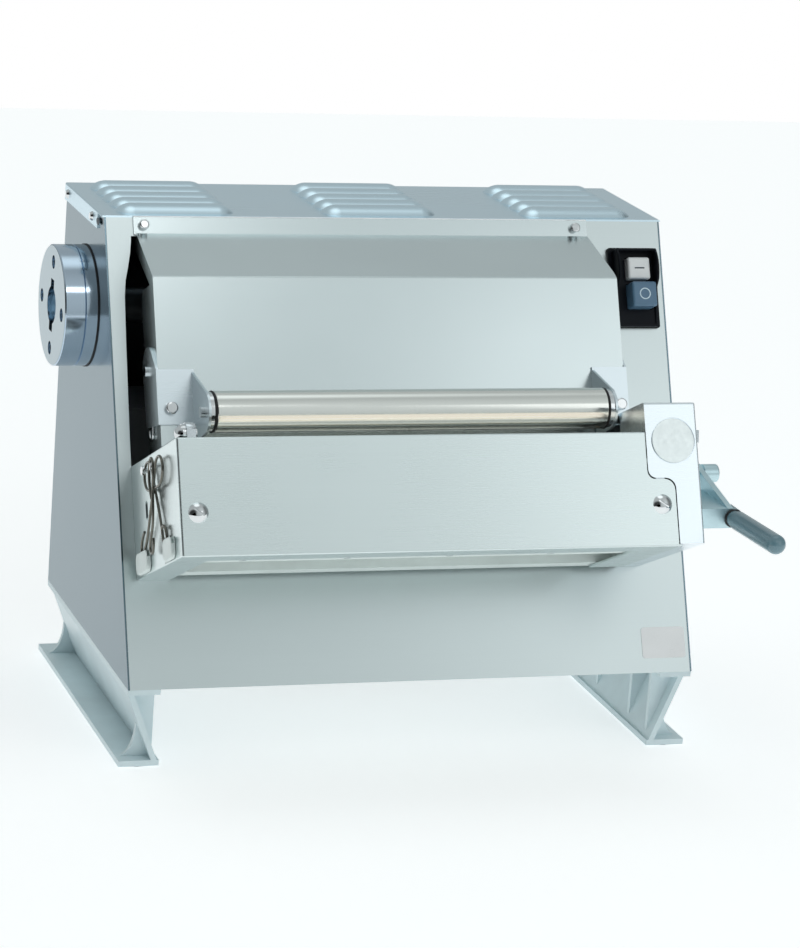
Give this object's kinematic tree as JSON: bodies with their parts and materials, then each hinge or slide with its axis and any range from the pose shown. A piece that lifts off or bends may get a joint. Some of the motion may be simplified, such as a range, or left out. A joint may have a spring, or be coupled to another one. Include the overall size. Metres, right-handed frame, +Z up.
{
  "type": "pasta roller machine",
  "caption": "Bench-top dough sheeter: sloped steel casing with a power take-off hub, infeed hood, idle roller, guarded working rollers, gear cover, gap lever and switch.",
  "frame": {"origin": "centre of the overall box in X and Y, on the pads' underside", "axes": "+X to the operator's right along the rollers, -Y towards the operator, +Z up"},
  "size_m": [0.534, 0.487, 0.4395],
  "materials": {
    "brushed_steel": "brushed stainless sheet",
    "bright_steel": "fine brushed stainless",
    "polished_steel": "ground and polished",
    "plate_steel": "machined",
    "machined_aluminium": "turned and polished",
    "zinc_steel": "bright zinc",
    "foot_paint": "light grey satin paint",
    "gear_steel": "hobbed, oiled",
    "motor_casting": "die cast",
    "black_rubber": "matt",
    "black_plastic": "moulded",
    "white_plastic": "moulded",
    "blue_grey_plastic": "moulded",
    "grey_plastic": "moulded",
    "scraper_plastic": "cut sheet",
    "grip_plastic": "moulded",
    "bronze": "sintered",
    "lever_casting": "cast, tumbled"
  },
  "bodies": {
    "base": {"bearing_plate_left": "plate_steel", "bearing_plate_right": "plate_steel", "bottom_plate": "brushed_steel", "bracket_bolts": "zinc_steel", "cable_gland": "grey_plastic", "control_box": "grey_plastic", "cover_screws": "zinc_steel", "drive_bushes": "bronze", "drive_plate": "plate_steel", "ear_studs": "zinc_steel", "foot_bolts": "zinc_steel", "foot_left": "foot_paint", "foot_pads": "black_rubber", "foot_right": "foot_paint", "front_panel": "brushed_steel", "gear_cover": "bright_steel", "guard_screws": "zinc_steel", "head_belt": "black_rubber", "hood_pins": "zinc_steel", "hub_disc": "machined_aluminium", "hub_gasket": "black_rubber", "hub_ring": "machined_aluminium", "hub_screws": "zinc_steel", "idle_axle": "gear_steel", "idle_bracket_left": "bright_steel", "idle_bracket_right": "bright_steel", "idle_washers": "black_plastic", "index_sector": "plate_steel", "infeed_hood": "brushed_steel", "left_side_panel": "brushed_steel", "main_bearings": "gear_steel", "motor": "motor_casting", "rear_panel": "brushed_steel", "rear_scraper": "scraper_plastic", "right_side_panel": "brushed_steel", "roller_guard": "brushed_steel", "scraper_springs": "polished_steel", "spring_hooks": "zinc_steel", "switch_body": "black_plastic", "tie_bars": "plate_steel", "top_cover": "brushed_steel"},
    "main_line": {"main_shaft": "gear_steel", "main_gear": "gear_steel", "main_pulley": "gear_steel"},
    "motor_rotor": {"motor_pinion": "gear_steel"},
    "drive_roll": {"drive_roller": "polished_steel", "head_pulley": "gear_steel", "drive_gear": "gear_steel"},
    "gap_carriage": {"press_blocks": "plate_steel", "front_scraper": "scraper_plastic"},
    "press_roll": {"press_roller": "polished_steel", "press_gear": "gear_steel"},
    "gap_lever": {"gap_shaft": "gear_steel", "gap_cams": "gear_steel", "lever_block": "lever_casting", "lever_grip": "grip_plastic"},
    "plunger": {"index_plunger": "lever_casting"},
    "idle_roll": {"idle_roller": "polished_steel"},
    "start_key": {"on_button": "white_plastic"},
    "stop_key": {"off_button": "blue_grey_plastic"}
  },
  "joints": [
    {"name": "main_spin", "type": "hinge", "parent": "base", "child": "main_line", "pos_m": [0.012, 0.1445, 0.344], "axis": [1, 0, 0], "continuous": true},
    {"name": "motor_spin", "type": "hinge", "parent": "base", "child": "motor_rotor", "pos_m": [0.16, 0.1385, 0.23016], "axis": [1, 0, 0], "continuous": true},
    {"name": "drive_roller_spin", "type": "hinge", "parent": "base", "child": "drive_roll", "pos_m": [0.012, -0.03795, 0.22379], "axis": [1, 0, 0], "continuous": true},
    {"name": "gap_slide", "type": "slide", "parent": "base", "child": "gap_carriage", "axis": [0, -0.9085, 0.4179], "range_m": [0, 0.0045]},
    {"name": "press_roller_spin", "type": "hinge", "parent": "gap_carriage", "child": "press_roll", "pos_m": [0.012, -0.09337, 0.24928], "axis": [1, 0, 0], "continuous": true},
    {"name": "lever_turn", "type": "hinge", "parent": "base", "child": "gap_lever", "pos_m": [0.012, -0.14036, 0.23182], "axis": [1, 0, 0], "range_deg": [0, 60]},
    {"name": "plunger_pull", "type": "slide", "parent": "gap_lever", "child": "plunger", "axis": [1, 0, 0], "range_m": [-0.0022, 0.003]},
    {"name": "idle_spin", "type": "hinge", "parent": "base", "child": "idle_roll", "pos_m": [0.012, -0.05572, 0.30241], "axis": [1, 0, 0], "continuous": true},
    {"name": "on_press", "type": "slide", "parent": "base", "child": "start_key", "axis": [0, 0.9085, -0.4179], "range_m": [0, 0.003], "stiffness_N_per_m": 400},
    {"name": "off_press", "type": "slide", "parent": "base", "child": "stop_key", "axis": [0, 0.9085, -0.4179], "range_m": [0, 0.003], "stiffness_N_per_m": 400}
  ],
  "couplings": [
    {"joint": "motor_spin", "follows": "main_spin", "ratio": -1.9231},
    {"joint": "drive_roller_spin", "follows": "main_spin", "ratio": 1},
    {"joint": "press_roller_spin", "follows": "main_spin", "ratio": -1},
    {"joint": "lever_turn", "follows": "gap_slide", "rad_per_m": 232.71}
  ]
}
